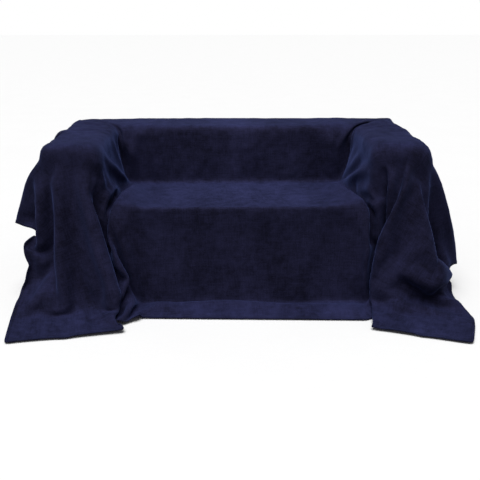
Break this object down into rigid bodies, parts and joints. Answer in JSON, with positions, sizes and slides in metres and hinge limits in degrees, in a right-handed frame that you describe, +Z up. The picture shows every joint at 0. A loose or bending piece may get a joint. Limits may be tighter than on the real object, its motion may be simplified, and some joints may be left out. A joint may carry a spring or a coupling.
{
  "type": "sofa with draped throw cover",
  "caption": "Low two-seat sofa with box arms, wrapped by one large loose suede throw that follows the seat, back and arms and spreads on the floor in soft folds.",
  "frame": {"origin": "on the floor, at the foot of the centre support leg, midway between the arms and midway between front and rear", "axes": "+X along the seat, towards the right arm as seen from the front; +Y from the front to the back; +Z up from the floor"},
  "size_m": [2.36, 1.81, 0.771],
  "materials": {
    "timber": "sawn pale softwood and hardwood, unfinished",
    "plywood": "raw birch plywood",
    "hardboard": "smooth brown hardboard",
    "spring_steel": "dark oiled spring wire",
    "zinc_steel": "dull zinc plate",
    "felt": "needled grey felt",
    "black_cloth": "thin black non-woven",
    "webbing": "woven elastic strap",
    "foam": "open-cell seat foam and padding",
    "fibre_filling": "loose white fibre",
    "upholstery": "plain oatmeal flat weave",
    "foot_wood": "dark stained, satin",
    "glide_plastic": "matt black",
    "suede": "navy sueded microfibre with a short soft nap"
  },
  "bodies": {
    "sofa": {"base_front_rail": "timber", "base_rear_rail": "timber", "base_left_rail": "timber", "base_right_rail": "timber", "centre_stretcher": "timber", "corner_blocks": "timber", "seat_springs": "spring_steel", "spring_clips": "zinc_steel", "spring_tie_wires": "spring_steel", "front_edge_roll": "foam", "seat_felt": "felt", "deck_cloth": "black_cloth", "base_front_padding": "foam", "base_front_cover": "upholstery", "dust_cover": "black_cloth", "seat_cushion_foam": "foam", "seat_cushion_cover": "upholstery", "back_posts": "timber", "back_top_rail": "timber", "back_lower_rail": "timber", "back_webbing": "webbing", "back_rear_panel": "hardboard", "back_padding": "foam", "back_cover": "upholstery", "back_cushion_filling": "fibre_filling", "back_cushion_cover": "upholstery", "left_arm_bottom_board": "plywood", "left_arm_bulkheads": "plywood", "left_arm_top_board": "plywood", "left_arm_inner_panel": "hardboard", "left_arm_outer_panel": "hardboard", "left_arm_cleat": "plywood", "left_arm_padding": "foam", "left_arm_cover": "upholstery", "right_arm_bottom_board": "plywood", "right_arm_bulkheads": "plywood", "right_arm_top_board": "plywood", "right_arm_inner_panel": "hardboard", "right_arm_outer_panel": "hardboard", "right_arm_cleat": "plywood", "right_arm_padding": "foam", "right_arm_cover": "upholstery", "corner_feet": "foot_wood", "centre_foot": "foot_wood", "foot_studs": "zinc_steel", "foot_glides": "glide_plastic", "arm_bolts": "zinc_steel", "arm_bolt_washers": "zinc_steel", "arm_t_nuts": "zinc_steel", "back_bolts": "zinc_steel", "back_bolt_washers": "zinc_steel", "back_t_nuts": "zinc_steel"},
    "throw": {"throw": "suede"}
  },
  "joints": [
    {"name": "throw_lift", "type": "slide", "parent": "sofa", "child": "throw", "axis": [0, 0, 1], "range_m": [0, 0.85]}
  ]
}
